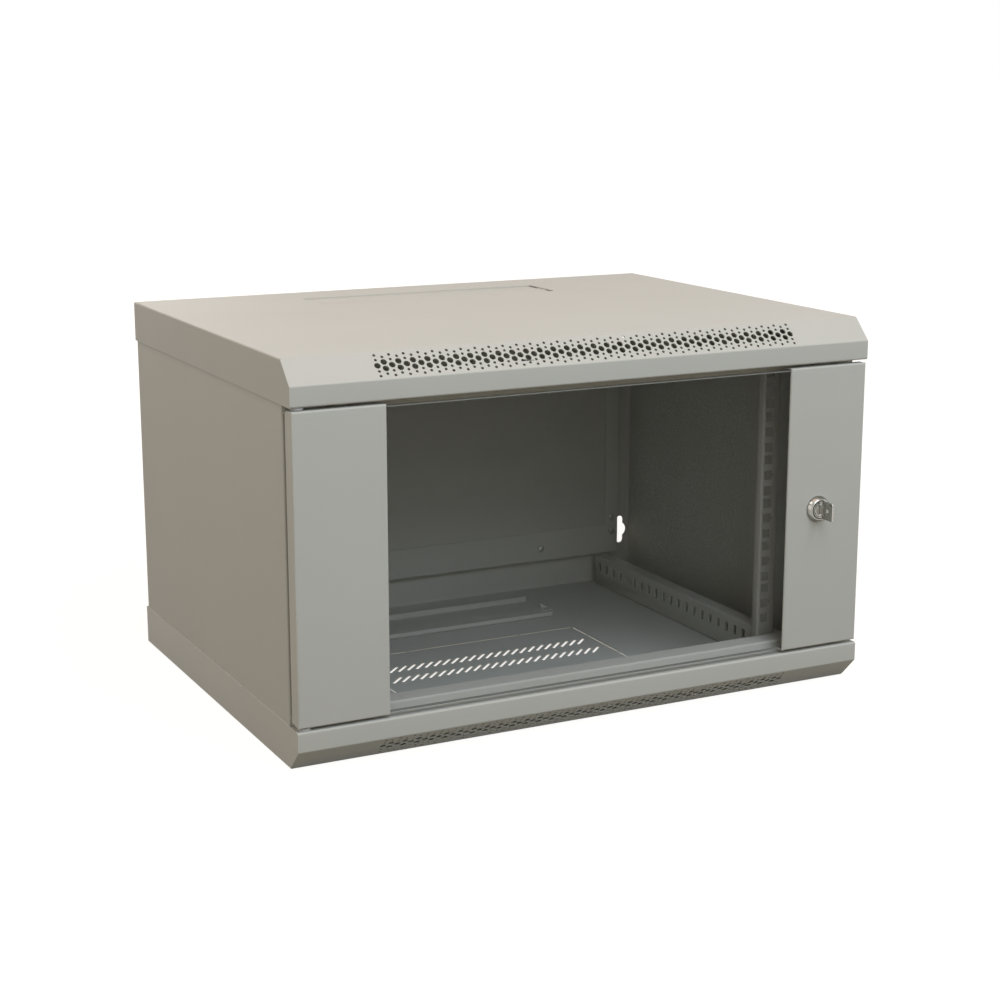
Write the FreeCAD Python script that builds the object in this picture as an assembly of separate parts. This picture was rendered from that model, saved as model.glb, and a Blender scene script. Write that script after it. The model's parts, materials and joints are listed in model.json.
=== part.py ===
import FreeCAD, Part
import math
import os

# Wall mount network cabinet for 19-inch equipment, six units high, with a glass door hinged on the left.
# Millimetres. +X is the right side, +Y the rear (wall) side, +Z up. The origin is the middle of the base.
# Sheet metal pieces are given by their outer faces, and "depth" is counted from the front plane rearwards.

V = FreeCAD.Vector

# ---------------------------------------------------------------- driving dimensions
WIDTH = 600.0
DEPTH = 450.0
HEIGHT = 368.0

SHEET = 1.2                 # covers, side panels, rear frame, sills and door strips
BEND = 2.0                  # outer radius of every bend in that sheet
RAIL_SHEET = 1.5            # rack rails and depth rails

CHAMFER_DEPTH = 21.0        # slanted front edge of each cover
CHAMFER_HEIGHT = 21.5
LIP_HEIGHT = 18.5           # upright lip above the chamfer
LIP_HEM = 10.0              # edge of the lip's return, turned inwards

SILL_DEPTH = 20.5           # front face of the sills, behind the door
SILL_RISE = 8.0             # how far a sill stands proud of the cover's rim
SILL_FLANGE = 22.5
SILL_HEM = 8.0

PANEL_DEPTH = 23.0          # front edge of the side panels
PANEL_FLANGE = 26.0         # inward flange at the front, where the lock cam catches
PANEL_REAR_FLANGE = 26.5    # inward flange at the rear, with the wall keyholes
PANEL_FOOT = 14.0           # flanges on the covers' inner faces

KEYHOLE_INSET = 14.5        # keyhole centre from the cabinet's side
KEYHOLE_HEIGHT = 60.5       # keyhole centre from the base or the top
KEYHOLE_RADIUS = 8.5        # passes the bolt's head
KEYHOLE_SLOT = 9.0          # slot width, above and below the head hole
KEYHOLE_LENGTH = 33.0

REAR_INSET = 15.0           # front face of the rear frame, in front of the rear plane
REAR_FRAME_SIDE = 24.0      # frame's outer side from the cabinet's side
REAR_FRAME_END = 36.8       # frame's outer end from the base or the top
REAR_STILE = 18.0
REAR_RAIL = 35.0
REAR_PLATE = 1.0
REAR_PLATE_LAP = 14.0       # plate behind the stiles

ENTRY_LENGTH = 270.0        # cable entry opening
ENTRY_WIDTH = 57.0
ENTRY_REAR = 55.0           # opening's rear edge from the rear plane
ENTRY_SLIT = 2.0            # slit left open at each end of the closing tray
ENTRY_LAP = 4.5             # tray on the cover along each long side
ENTRY_RIM = 7.0             # height of the tray's flanges
ENTRY_TONGUE = 20.0         # width of the end tongues
ENTRY_TONGUE_REACH = 12.0

FAN_LENGTH = 265.0          # knock-out panel for a fan tray in the bottom cover
FAN_WIDTH = 134.0
FAN_CENTRE_DEPTH = 220.0
FAN_SLIT = 1.0
FAN_JOINT = 4.0             # micro-joints that hold the panel
SLOT_COUNT = 24
SLOT_PITCH = 10.0
SLOT_LENGTH = 20.0
SLOT_WIDTH = 2.8
SLOT_ROW_SPACING = 32.5

VENT_COLUMNS = 63           # columns of round holes along each chamfer
VENT_PITCH = 6.93
VENT_RADIUS = 2.95
VENT_SPREAD = 3.5           # offset of the two holes in every second column
VENT_SIDES = 6

UNITS = 6
UNIT = 44.45                # one rack unit
UNIT_HOLES = (6.35, 22.225, 38.1)
RACK_INSET = 54.5           # cabinet's side to a rack rail's side; leaves 450 between the rails
RACK_HOLE_INSET = 7.55      # rail's inner edge to its square holes, 465.1 apart
RACK_HOLE = 9.5
UNIT_NOTCH = 2.4            # mark beside the middle hole of each unit
RACK_DEPTH = 65.0           # front face of the rack rails
RACK_FACE = 20.5            # width of a rack rail's front face
RACK_RETURN = 9.0
RACK_SIDE = 38.0
RACK_END_GAP = 2.0          # rack rail to the covers' inner faces

BRACKET_HEIGHT = 35.8       # depth rails
BRACKET_FLANGE = 16.5
BRACKET_FRONT = 48.0
BRACKET_HOLE_Y = 6.0
BRACKET_HOLE_Z = 10.0
BRACKET_HOLE_HEIGHT = 23.5
BRACKET_PITCH = 16.0
BRACKET_HOLE_COUNT = 24
BRACKET_FIRST_HOLE = 56.0
BRACKET_ROUND_HOLE = 19     # this hole in the row is a small round one
BRACKET_ROUND_RADIUS = 2.2

DOOR_GAP = 3.0              # to the covers' rims
DOOR_SETBACK = 1.0          # door's sides from the cabinet's sides
DOOR_THICKNESS = 17.0
STRIP_WIDTH = 88.0
STRIP_PAN = 9.0             # depth of the strips' end returns
STRIP_HEM = 14.0
GLASS = 4.0
GLASS_LAP = 20.0            # glass behind each strip's face
GLASS_GAP = 0.8             # glass to the strips' end returns
GLASS_BEVEL = 0.5
TAPE = 1.0
TAPE_MARGIN = 2.0
TAPE_COVER = 0.2            # strip's folded inner edge, which hides the tape, to the glass

PIVOT_INSET = 8.0           # hinge axis from the door's side
PIVOT_DEPTH = 8.0
PIN_RADIUS = 2.5
PIN_CLEARANCE = 0.1         # hinge pins in their bushes and guides
BUSH_RADIUS = 4.0
BUSH_FLANGE_RADIUS = 6.0
BUSH_FLANGE = 2.6
EAR = 2.0                   # thickness of the hinge brackets
EAR_WIDTH = 24.0
EAR_SPAN = 27.0             # upper hinge bracket, ear to ear
PIN_REACH = 4.0             # pin beyond the cover's sheet
PIN_COLLAR_RADIUS = 4.5
PIN_COLLAR = 1.5
PIN_TAIL = 6.0              # pin below its lower guide
LEVER_RADIUS = 2.0
LEVER_LENGTH = 24.0
SPRING_RADIUS = 3.6
SPRING_WIRE = 0.9
SPRING_TURNS = 4
SPRING_SIDES = 8            # straight runs in each turn

LOCK_INSET = 36.0           # lock axis from the lock strip's inner edge
LOCK_RADIUS = 9.0
LOCK_BEZEL_RADIUS = 13.0
LOCK_FACE_RADIUS = 10.7
LOCK_BEZEL = 5.5
CAM_CLEARANCE = 0.4         # turned cam to the side panel's front flange
PLUG_RADIUS = 6.5
PLUG_CLEARANCE = 0.1
PLUG_RECESS = 0.4
NUT_ACROSS = 24.0
NUT_THICKNESS = 3.0
CAM_THICKNESS = 2.0
CAM_LENGTH = 40.0
CAM_WIDTH = 15.0
CAM_SQUARE = 7.0
CAM_GAP = 0.3               # cam to the housing's end
CAM_SCREW_RADIUS = 2.0
CAM_SCREW_HEAD_RADIUS = 4.0
CAM_SCREW_HEAD = 2.2
KEY_THICKNESS = 2.0
KEY_BLADE_HEIGHT = 8.0
KEY_BLADE_LENGTH = 20.0
KEY_CLEARANCE = 0.2
KEY_NECK = 2.0              # key's bow to the lock's face
KEY_BOW_LENGTH = 19.0
KEY_BOW_HEIGHT = 19.0
KEY_BOW_CORNER = 3.0
KEY_HOLE_RADIUS = 2.0

BUMPER_RADIUS = 4.0
BUMPER_GAP = 0.3            # closed door to the bumpers
BUMPER_END = 70.0           # bumpers from the base and the top

BOLT_RADIUS = 3.0           # screws of the rack rails
BOLT_HEAD_RADIUS = 5.5
BOLT_HEAD = 3.5
BOLT_NUT = 5.0
BOLT_HOLES = (1, 2)         # holes of the depth rails that the rack rails are screwed to

TURNED_SIDES = 12           # small turned pieces are prisms with this many sides, to keep the model light
LOCK_SIDES = 20
FASTENER_SIDES = 6

# ---------------------------------------------------------------- places worked out from them
FRONT = -DEPTH / 2
REAR = DEPTH / 2
SIDE = WIDTH / 2
RIM = CHAMFER_HEIGHT + LIP_HEIGHT
PANEL_OUTER = SIDE - SHEET
PANEL_INNER = PANEL_OUTER - SHEET
PANEL_REAR = REAR - SHEET
SILL_TOP = RIM + SILL_RISE
DOOR_SIDE = SIDE - DOOR_SETBACK
DOOR_LOW = RIM + DOOR_GAP
DOOR_HIGH = HEIGHT - DOOR_LOW
DOOR_REAR = FRONT + DOOR_THICKNESS
STRIP_INNER = DOOR_SIDE - STRIP_WIDTH
GLASS_SIDE = STRIP_INNER + GLASS_LAP
GLASS_FRONT = FRONT + SHEET + TAPE
GLASS_LOW = DOOR_LOW + SHEET + GLASS_GAP
GLASS_HIGH = DOOR_HIGH - SHEET - GLASS_GAP
PIVOT = V(-DOOR_SIDE + PIVOT_INSET, FRONT + PIVOT_DEPTH, 0)
LOCK = V(STRIP_INNER + LOCK_INSET, FRONT, HEIGHT / 2)
PLUG_SHOULDER = PANEL_DEPTH + SHEET + CAM_CLEARANCE
LOCK_LENGTH = PLUG_SHOULDER - CAM_GAP
REAR_FRAME_Y = REAR - REAR_INSET
BRACKET_X = SIDE - RACK_INSET


# ---------------------------------------------------------------- geometry helpers
def box(x, y, z):
    """A block between the (low, high) pairs x, y and z."""
    return Part.makeBox(x[1] - x[0], y[1] - y[0], z[1] - z[0], V(x[0], y[0], z[0]))


def cylinder(radius, start, end):
    """A round bar from one point to another."""
    return Part.makeCylinder(radius, (end - start).Length, start, end - start)


def ring(radius, sides, centre, axis):
    """The corners of a regular outline round an axis."""
    turn = FreeCAD.Rotation(V(0, 0, 1), axis)
    angles = [2 * math.pi * (i + 0.5) / sides for i in range(sides)]
    return [centre + turn.multVec(V(math.cos(a), math.sin(a), 0)) * radius for a in angles]


def polygon(corners):
    return Part.Face(Part.makePolygon(corners + corners[:1]))


def bar(radius, start, end, sides=TURNED_SIDES, end_radius=None):
    """A straight or tapered prism from one point to another."""
    near = ring(radius, sides, start, end - start)
    far = ring(end_radius or radius, sides, end, end - start)
    walls = [polygon([near[i - 1], near[i], far[i], far[i - 1]]) for i in range(sides)]
    return Part.Solid(Part.Shell([polygon(near[::-1]), polygon(far)] + walls))


def points(*pairs):
    return [V(a, b, 0) for a, b in pairs]


def left_of(direction):
    return V(-direction.y, direction.x, 0)


def offset_path(path, distance):
    """The open path moved to its left."""
    steps = [(b - a).normalize() for a, b in zip(path, path[1:])]
    steps = [steps[0]] + steps + [steps[-1]]
    moved = []
    for point, before, after in zip(path, steps, steps[1:]):
        normal = left_of(before) + left_of(after)
        moved.append(point + normal * (2 * distance / normal.dot(normal)))
    return moved


def rounded_face(corners, radii):
    """A face with these corners, each rounded to its radius."""
    arcs = []
    for i, (corner, radius) in enumerate(zip(corners, radii)):
        back = (corners[i - 1] - corner).normalize()
        ahead = (corners[(i + 1) % len(corners)] - corner).normalize()
        if radius == 0:
            arcs.append((corner, corner, corner))
            continue
        half = back.getAngle(ahead) / 2
        cut = radius / math.tan(half)
        inward = (back + ahead).normalize() * (radius / math.sin(half) - radius)
        arcs.append((corner + back * cut, corner + inward, corner + ahead * cut))
    edges = []
    for (start, middle, end), (following, _, _) in zip(arcs, arcs[1:] + arcs[:1]):
        if start != end:
            edges.append(Part.Arc(start, middle, end).toShape())
        if end != following:
            edges.append(Part.makeLine(end, following))
    return Part.Face(Part.Wire(edges))


def sheet_face(path, thickness, bend=BEND):
    """The section of a bent sheet on the left of an open path; each fold is rounded on its outside."""
    far = offset_path(path, thickness)
    near_radii, far_radii = [0], [0]
    for before, corner, after in zip(path, path[1:], path[2:]):
        folds_left = (corner - before).cross(after - corner).z > 0
        near_radii.append(bend if folds_left else 0)
        far_radii.append(0 if folds_left else bend)
    return rounded_face(path + far[::-1], near_radii + [0] + [0] + far_radii[:0:-1])


def along_z(face, low, high):
    """A face drawn in X and Y, extruded upwards."""
    return face.translated(V(0, 0, low)).extrude(V(0, 0, high - low))


def along_x(face, low, high):
    """A face drawn in Y and Z, extruded along X."""
    placed = face.copy()
    placed.Placement = FreeCAD.Placement(V(low, 0, 0), FreeCAD.Rotation(V(1, 1, 1), 120))
    return placed.extrude(V(high - low, 0, 0))


def along_y(face, low, high):
    """A face drawn in X and Z, extruded along Y."""
    placed = face.copy()
    placed.Placement = FreeCAD.Placement(V(0, low, 0), FreeCAD.Rotation(V(1, 0, 0), 90))
    return placed.extrude(V(0, high - low, 0))


def round_edges(solid, radius, chosen):
    """The solid with each edge that the test picks rounded."""
    return solid.makeFillet(radius, [edge for edge in solid.Edges if chosen(edge)])


def lies_at(edge, axis, value):
    """Whether the whole edge lies at this coordinate."""
    return all(abs(getattr(vertex.Point, axis) - value) < 1e-6 for vertex in edge.Vertexes)


def joined(solids):
    """One solid out of pieces of the same sheet."""
    return solids[0].fuse(solids[1:]).removeSplitter()


def group(solids):
    """Separate solids that share one node."""
    return Part.makeCompound(solids)


def mirror_x(shape):
    return shape.mirror(V(0, 0, 0), V(1, 0, 0))


def mirror_z(shape):
    return shape.mirror(V(0, 0, HEIGHT / 2), V(0, 0, 1))


# ---------------------------------------------------------------- covers
def cover_section():
    return points((FRONT, RIM), (FRONT, CHAMFER_HEIGHT), (FRONT + CHAMFER_DEPTH, 0), (REAR, 0), (REAR, RIM))


def cover_outside():
    """The outside of the bottom cover; the corner seams of its flanges are welded and stay sharp."""
    block = along_x(polygon(cover_section()), -SIDE, SIDE)

    def is_fold(edge):
        if lies_at(edge, "z", RIM):
            return lies_at(edge, "y", FRONT)
        return lies_at(edge, "z", edge.Vertexes[0].Z)

    return round_edges(block, BEND, is_fold)


def cover_inside():
    path = offset_path(cover_section(), SHEET)
    path[0].y = path[-1].y = RIM + SHEET
    return along_x(polygon(path), -SIDE + SHEET, SIDE - SHEET)


def lip_return():
    """The lip's rim, folded back towards the sill and down."""
    path = points((FRONT + SILL_DEPTH, RIM - LIP_HEM), (FRONT + SILL_DEPTH, RIM), (FRONT, RIM),
                  (FRONT, RIM - LIP_HEM))
    return along_x(sheet_face(path, SHEET), -SIDE + BEND, SIDE - BEND)


def vent_holes():
    """The large holes of the chamfer: one and two by turns, in columns that keep a triangular pattern."""
    down = V(0, CHAMFER_DEPTH, -CHAMFER_HEIGHT).normalize()
    outward = V(0, -CHAMFER_HEIGHT, -CHAMFER_DEPTH).normalize()
    middle = V(0, FRONT + CHAMFER_DEPTH / 2, CHAMFER_HEIGHT / 2)
    holes = []
    for column in range(VENT_COLUMNS):
        x = (column - (VENT_COLUMNS - 1) / 2) * VENT_PITCH
        rows = (0,) if column % 2 == 0 else (-VENT_SPREAD, VENT_SPREAD)
        for row in rows:
            centre = middle + V(x, 0, 0) + down * row
            ends = centre - outward * SHEET * 2, centre + outward * SHEET
            holes.append(bar(VENT_RADIUS, *ends, VENT_SIDES))
    return holes


def entry_opening():
    return box((-ENTRY_LENGTH / 2, ENTRY_LENGTH / 2), (REAR - ENTRY_REAR - ENTRY_WIDTH, REAR - ENTRY_REAR),
               (-SHEET, 2 * SHEET))


def bush_hole():
    top = PIVOT + V(0, 0, RIM + SHEET)
    return bar(BUSH_RADIUS, top - V(0, 0, 3 * SHEET), top)


def plain_cover():
    """What the bottom and the top cover share, as the bottom one."""
    cover = joined([cover_outside().cut(cover_inside()), lip_return()])
    return cover.cut(vent_holes() + [entry_opening(), bush_hole()])


def fan_slits():
    """The outline of the fan knock-out, broken by micro-joints."""
    half_x, half_y = FAN_LENGTH / 2, FAN_WIDTH / 2
    centre_y = FRONT + FAN_CENTRE_DEPTH
    slits = []
    for low, high in slit_spans(half_x):
        for y in (centre_y - half_y, centre_y + half_y):
            slits.append(box((low, high), (y - FAN_SLIT / 2, y + FAN_SLIT / 2), (-SHEET, 2 * SHEET)))
    for low, high in slit_spans(half_y):
        for x in (-half_x, half_x):
            slits.append(box((x - FAN_SLIT / 2, x + FAN_SLIT / 2), (centre_y + low, centre_y + high),
                             (-SHEET, 2 * SHEET)))
    return slits


def slit_spans(half):
    """The stretches of one side of the knock-out between its two micro-joints."""
    joint = half / 2
    gap = FAN_JOINT / 2
    return [(-half + gap, -joint - gap), (-joint + gap, joint - gap), (joint + gap, half - gap)]


def fan_slots():
    """Two rows of slanted air slots."""
    slots = []
    slot = box((-SLOT_LENGTH / 2, SLOT_LENGTH / 2), (-SLOT_WIDTH / 2, SLOT_WIDTH / 2), (-SHEET, 2 * SHEET))
    slot.rotate(V(0, 0, 0), V(0, 0, 1), 45)
    for row in (-SLOT_ROW_SPACING / 2, SLOT_ROW_SPACING / 2):
        for i in range(SLOT_COUNT):
            x = (i - (SLOT_COUNT - 1) / 2) * SLOT_PITCH
            slots.append(slot.translated(V(x, FRONT + FAN_CENTRE_DEPTH + row, 0)))
    return slots


def bottom_cover():
    return plain_cover().cut(fan_slits() + fan_slots())


def top_cover():
    return mirror_z(plain_cover())


def entry_tray():
    """Closes the cable entry of the bottom cover from inside."""
    rear = REAR - ENTRY_REAR + ENTRY_LAP
    front = REAR - ENTRY_REAR - ENTRY_WIDTH - ENTRY_LAP
    path = points((front, SHEET + ENTRY_RIM), (front, SHEET), (rear, SHEET), (rear, SHEET + ENTRY_RIM))
    half = ENTRY_LENGTH / 2 - ENTRY_SLIT
    tray = along_x(sheet_face(path, SHEET, 0), -half, half)
    middle = (front + rear) / 2
    reach = half + ENTRY_TONGUE_REACH
    tongue = box((-reach, reach), (middle - ENTRY_TONGUE / 2, middle + ENTRY_TONGUE / 2), (SHEET, 2 * SHEET))
    gussets = []
    for side in (-1, 1):
        low = side * (half + ENTRY_SLIT)
        tip = low + side * (reach - half - ENTRY_SLIT)
        outline = points((low, SHEET), (tip, SHEET), (low, SHEET + ENTRY_RIM))
        gussets.append(along_y(polygon(outline), middle - SHEET / 2, middle + SHEET / 2))
    return joined([tray, tongue] + gussets)


def sill():
    """The bottom door stop: an angle behind the lip's return, with a hemmed top."""
    front = FRONT + SILL_DEPTH
    path = points((front + SILL_FLANGE, SILL_TOP - SILL_HEM), (front + SILL_FLANGE, SILL_TOP),
                  (front, SILL_TOP), (front, RIM - LIP_HEM))
    return along_x(sheet_face(path, SHEET), -PANEL_INNER, PANEL_INNER)


# ---------------------------------------------------------------- side panels
def keyhole(height):
    """A round hole for the bolt's head with a slot above and below, through the rear flange."""
    x = SIDE - KEYHOLE_INSET
    low, high = PANEL_REAR - 2 * SHEET, PANEL_REAR + SHEET
    head = cylinder(KEYHOLE_RADIUS, V(x, low, height), V(x, high, height))
    half = KEYHOLE_LENGTH / 2 - KEYHOLE_SLOT / 2
    slot = box((x - KEYHOLE_SLOT / 2, x + KEYHOLE_SLOT / 2), (low, high), (height - half, height + half))
    ends = [cylinder(KEYHOLE_SLOT / 2, V(x, low, z), V(x, high, z)) for z in (height - half, height + half)]
    return [head, slot] + ends


def right_side_panel():
    front = FRONT + PANEL_DEPTH
    path = points((PANEL_OUTER - PANEL_FLANGE, front), (PANEL_OUTER, front), (PANEL_OUTER, PANEL_REAR),
                  (SIDE - SHEET - PANEL_REAR_FLANGE, PANEL_REAR))
    panel = along_z(sheet_face(path, SHEET), SHEET, HEIGHT - SHEET)
    flange = (0, PANEL_INNER), (FRONT, front + BEND)
    panel = panel.cut([box(*flange, (0, SILL_TOP)), box(*flange, (HEIGHT - SILL_TOP, HEIGHT))])
    reach = (FRONT + SILL_DEPTH + SILL_FLANGE + BEND, PANEL_REAR - 2 * BEND)
    feet = [box((PANEL_INNER - PANEL_FOOT, PANEL_OUTER), reach, span)
            for span in ((SHEET, 2 * SHEET), (HEIGHT - 2 * SHEET, HEIGHT - SHEET))]
    panel = joined([panel] + feet)
    return panel.cut(keyhole(KEYHOLE_HEIGHT) + keyhole(HEIGHT - KEYHOLE_HEIGHT))


def bumpers():
    """Rubber buttons on the lock side's flange that the closed door rests on."""
    x = DOOR_SIDE - STRIP_HEM / 2
    start, end = FRONT + PANEL_DEPTH, DOOR_REAR + BUMPER_GAP
    return group([bar(BUMPER_RADIUS, V(x, start, z), V(x, end, z))
                  for z in (BUMPER_END, HEIGHT - BUMPER_END)])


# ---------------------------------------------------------------- rear wall
def rear_frame():
    """A pan with a window, standing forward of the wall so that the bolt heads fit beside it."""
    side = SIDE - REAR_FRAME_SIDE
    ends = (REAR_FRAME_END, HEIGHT - REAR_FRAME_END)
    back = PANEL_REAR - SHEET
    block = box((-side, side), (REAR_FRAME_Y, back), ends)
    inner = box((-side + SHEET, side - SHEET), (REAR_FRAME_Y + SHEET, back + BEND),
                (ends[0] + SHEET, ends[1] - SHEET))
    window = box((-side + REAR_STILE, side - REAR_STILE), (REAR_FRAME_Y - SHEET, back),
                 (ends[0] + REAR_RAIL, ends[1] - REAR_RAIL))
    return block.cut([inner, window])


def rear_panel():
    side = SIDE - REAR_FRAME_SIDE - REAR_STILE + REAR_PLATE_LAP
    low = REAR_FRAME_END + REAR_RAIL - 2 * REAR_PLATE_LAP
    return box((-side, side), (REAR_FRAME_Y + SHEET, REAR_FRAME_Y + SHEET + REAR_PLATE), (low, HEIGHT - low))


# ---------------------------------------------------------------- rails
def bracket_hole_depth(index):
    return BRACKET_FIRST_HOLE + index * BRACKET_PITCH


def depth_rail_bottom_right():
    """A channel on the floor that carries the rack rail, with a row of holes to set its depth."""
    top = SHEET + BRACKET_HEIGHT
    outer = BRACKET_X + BRACKET_FLANGE
    path = points((outer, top), (BRACKET_X, top), (BRACKET_X, SHEET), (outer, SHEET))
    front, rear = FRONT + BRACKET_FRONT, REAR_FRAME_Y
    rail = along_y(sheet_face(path, RAIL_SHEET, 0), front, rear)
    holes = []
    for index in range(BRACKET_HOLE_COUNT):
        y = FRONT + bracket_hole_depth(index)
        if index == BRACKET_ROUND_HOLE:
            start = V(BRACKET_X - RAIL_SHEET, y, BRACKET_HOLE_HEIGHT)
            holes.append(bar(BRACKET_ROUND_RADIUS, start, start + V(3 * RAIL_SHEET, 0, 0), FASTENER_SIDES))
            continue
        half_y, half_z = BRACKET_HOLE_Y / 2, BRACKET_HOLE_Z / 2
        holes.append(box((BRACKET_X - RAIL_SHEET, BRACKET_X + 2 * RAIL_SHEET), (y - half_y, y + half_y),
                         (BRACKET_HOLE_HEIGHT - half_z, BRACKET_HOLE_HEIGHT + half_z)))
    return rail.cut(holes)


def rack_hole_heights():
    base = (HEIGHT - UNITS * UNIT) / 2
    return [base + unit * UNIT + hole for unit in range(UNITS) for hole in UNIT_HOLES]


def bolt_places():
    """Where the right rack rail is screwed to its two depth rails: (y, z)."""
    depths = [FRONT + bracket_hole_depth(index) for index in BOLT_HOLES]
    return [(y, z) for y in depths for z in (BRACKET_HOLE_HEIGHT, HEIGHT - BRACKET_HOLE_HEIGHT)]


def rack_rail_right():
    """An upright with square holes for cage nuts, folded back on both sides."""
    inner, outer = BRACKET_X - RACK_FACE, BRACKET_X
    front = FRONT + RACK_DEPTH
    path = points((inner, front + RACK_RETURN), (inner, front), (outer, front), (outer, front + RACK_SIDE))
    low = SHEET + RACK_END_GAP
    rail = along_z(sheet_face(path, RAIL_SHEET), low, HEIGHT - low)
    low_x, high_x = inner + RACK_HOLE_INSET - RACK_HOLE / 2, inner + RACK_HOLE_INSET + RACK_HOLE / 2
    through = (front - RAIL_SHEET, front + 2 * RAIL_SHEET)
    half, mark = RACK_HOLE / 2, UNIT_NOTCH / 2
    holes = [box((low_x, high_x), through, (z - half, z + half)) for z in rack_hole_heights()]
    for z in rack_hole_heights()[1::len(UNIT_HOLES)]:
        holes.append(box((high_x, high_x + UNIT_NOTCH), through, (z - mark, z + mark)))
    for y, z in bolt_places():
        start = V(outer - 2 * RAIL_SHEET, y, z)
        holes.append(bar(BOLT_RADIUS, start, start + V(3 * RAIL_SHEET, 0, 0), FASTENER_SIDES))
    return rail.cut(holes)


def rack_screws():
    screws = []
    inner = BRACKET_X - RAIL_SHEET
    for y, z in bolt_places():
        head = bar(BOLT_HEAD_RADIUS, V(inner - BOLT_HEAD, y, z), V(inner, y, z), FASTENER_SIDES)
        shank = bar(BOLT_RADIUS, V(inner, y, z), V(BRACKET_X + RAIL_SHEET + BOLT_NUT, y, z), FASTENER_SIDES)
        screws.append(head.fuse(shank))
    return group(screws + [mirror_x(screw) for screw in screws])


def rack_nuts():
    nuts = []
    start = BRACKET_X + RAIL_SHEET
    for y, z in bolt_places():
        ends = V(start, y, z), V(start + BOLT_NUT, y, z)
        blank = bar(BOLT_HEAD_RADIUS, *ends, FASTENER_SIDES)
        nuts.append(blank.cut(bar(BOLT_RADIUS, *ends, FASTENER_SIDES)))
    return group(nuts + [mirror_x(nut) for nut in nuts])


# ---------------------------------------------------------------- door
def plain_strip():
    """A door strip without holes, as the right one: a pan whose outer side is folded back further."""
    outer = box((STRIP_INNER, DOOR_SIDE), (FRONT, FRONT + STRIP_PAN), (DOOR_LOW, DOOR_HIGH))
    outer = round_edges(outer, BEND, lambda edge: lies_at(edge, "y", FRONT))
    inner = box((STRIP_INNER + SHEET, DOOR_SIDE - SHEET), (FRONT + SHEET, FRONT + STRIP_PAN + BEND),
                (DOOR_LOW + SHEET, DOOR_HIGH - SHEET))
    passage = box((STRIP_INNER - SHEET, STRIP_INNER + 2 * SHEET), (GLASS_FRONT - TAPE_COVER, DOOR_REAR),
                  (DOOR_LOW + SHEET, DOOR_HIGH - SHEET))
    hem = points((DOOR_SIDE, FRONT + BEND), (DOOR_SIDE, DOOR_REAR), (DOOR_SIDE - STRIP_HEM, DOOR_REAR))
    hem = along_z(sheet_face(hem, SHEET), DOOR_LOW + BEND, DOOR_HIGH - BEND)
    return joined([outer.cut([inner, passage]), hem])


def door_lock_strip():
    return plain_strip().cut(lock_bar(LOCK_RADIUS, -SHEET, 2 * SHEET))


def door_hinge_strip():
    return mirror_x(plain_strip()).cut(pivot_bar(DOOR_LOW - SHEET, DOOR_HIGH + SHEET, PIN_RADIUS + SHEET))


def door_glass():
    glass = box((-GLASS_SIDE, GLASS_SIDE), (GLASS_FRONT, GLASS_FRONT + GLASS), (GLASS_LOW, GLASS_HIGH))
    return glass.makeChamfer(GLASS_BEVEL, glass.Edges)


def glass_tape_right():
    return box((STRIP_INNER + SHEET + TAPE_MARGIN, GLASS_SIDE - TAPE_MARGIN),
               (FRONT + SHEET, GLASS_FRONT), (GLASS_LOW + TAPE_MARGIN, GLASS_HIGH - TAPE_MARGIN))


# ---------------------------------------------------------------- hinges
def ear(low):
    """A horizontal plate of a hinge bracket, from the strip's face to just short of its hem."""
    return box((-DOOR_SIDE + SHEET, -DOOR_SIDE + SHEET + EAR_WIDTH),
               (FRONT + SHEET, DOOR_REAR - SHEET - PIN_CLEARANCE), (low, low + EAR))


def pivot_bar(low, high, radius=PIN_RADIUS):
    """A prism about the hinge axis between two heights."""
    return bar(radius, PIVOT + V(0, 0, low), PIVOT + V(0, 0, high))


LOWER_EAR = DOOR_LOW + SHEET
UPPER_EAR = DOOR_HIGH - SHEET - EAR
GUIDE_EAR = UPPER_EAR - EAR_SPAN


def hinge_bracket_lower():
    return ear(LOWER_EAR).cut(pivot_bar(LOWER_EAR - EAR, LOWER_EAR + 2 * EAR))


def hinge_bracket_upper():
    web = box((-DOOR_SIDE + SHEET, -DOOR_SIDE + SHEET + EAR_WIDTH), (FRONT + SHEET, FRONT + SHEET + SHEET),
              (GUIDE_EAR, UPPER_EAR + EAR))
    bracket = joined([ear(UPPER_EAR), ear(GUIDE_EAR), web])
    return bracket.cut(pivot_bar(GUIDE_EAR - EAR, UPPER_EAR + 2 * EAR, PIN_RADIUS + PIN_CLEARANCE))


def hinge_pin_lower():
    top = LOWER_EAR + EAR
    return pivot_bar(RIM - SHEET - PIN_REACH, top).fuse(pivot_bar(top, top + PIN_COLLAR, PIN_COLLAR_RADIUS))


def hinge_pin_upper():
    """The spring bolt: pulled down by its lever, it lets the door be lifted out."""
    bottom = GUIDE_EAR - PIN_TAIL
    pin = pivot_bar(bottom, HEIGHT - RIM + SHEET + PIN_REACH)
    collar = pivot_bar(UPPER_EAR - PIN_COLLAR, UPPER_EAR, PIN_COLLAR_RADIUS)
    start = PIVOT + V(0, 0, bottom + LEVER_RADIUS)
    lever = bar(LEVER_RADIUS, start, start + V(LEVER_LENGTH, 0, 0), FASTENER_SIDES)
    return pin.fuse([collar, lever])


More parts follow.
